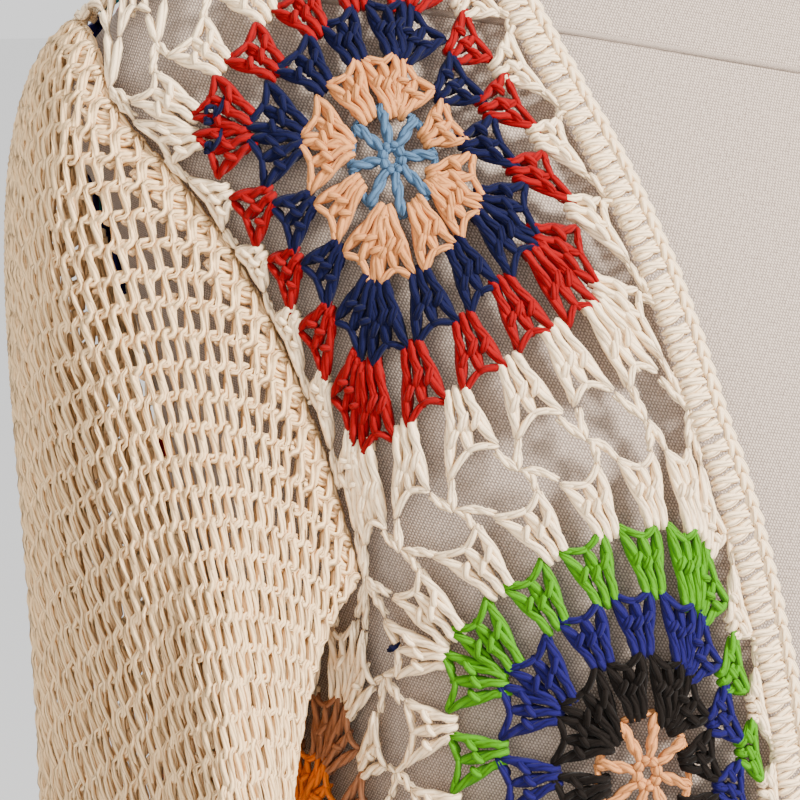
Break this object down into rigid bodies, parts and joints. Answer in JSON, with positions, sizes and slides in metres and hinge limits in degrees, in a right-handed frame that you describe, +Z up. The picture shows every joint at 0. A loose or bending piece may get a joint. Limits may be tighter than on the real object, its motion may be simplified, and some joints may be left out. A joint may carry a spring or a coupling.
{
  "type": "granny square cardigan on a limbless dress form",
  "caption": "Open-fronted crochet cardigan of joined granny squares with net sleeves, worn on a linen-covered limbless dress form on a pole with a round base",
  "frame": {"origin": "centre of the underside of the stand's base", "axes": "+Z up, the wearer's front faces -Y, the wearer's right side is at -X"},
  "size_m": [0.4256, 0.31, 1.4843],
  "materials": {
    "cotton_blue": "crocheted cotton",
    "cotton_brown": "crocheted cotton",
    "cotton_cream": "crocheted cotton",
    "cotton_gold": "crocheted cotton",
    "cotton_green": "crocheted cotton",
    "cotton_orange": "crocheted cotton",
    "cotton_plum": "crocheted cotton",
    "cotton_red": "crocheted cotton",
    "cotton_teal": "crocheted cotton",
    "linen": "plain weave",
    "metal": "satin",
    "wood": "oiled"
  },
  "bodies": {
    "root": {"square_top_front_right": "cotton_red", "square_top_back_right_outer": "cotton_blue", "square_top_back_right_inner": "cotton_orange", "square_top_back_left_inner": "cotton_green", "square_top_back_left_outer": "cotton_plum", "square_top_front_left": "cotton_teal", "square_middle_front_right": "cotton_green", "square_middle_side_right": "cotton_brown", "square_middle_back_right_outer": "cotton_red", "square_middle_back_right_inner": "cotton_gold", "square_middle_back_left_inner": "cotton_teal", "square_middle_back_left_outer": "cotton_orange", "square_middle_side_left": "cotton_blue", "square_middle_front_left": "cotton_red", "square_lower_front_right": "cotton_gold", "square_lower_side_right": "cotton_blue", "square_lower_back_right_outer": "cotton_plum", "square_lower_back_right_inner": "cotton_green", "square_lower_back_left_inner": "cotton_brown", "square_lower_back_left_outer": "cotton_red", "square_lower_side_left": "cotton_green", "square_lower_front_left": "cotton_orange", "band_front_and_neck": "cotton_cream", "band_hem": "cotton_cream", "sleeve_right": "cotton_cream", "sleeve_left": "cotton_cream", "cuff_right": "cotton_cream", "cuff_left": "cotton_cream", "form_torso": "linen", "neck_cap": "wood", "stand_collar": "wood", "stand_pole": "metal", "stand_base": "metal"}
  },
  "joints": []
}
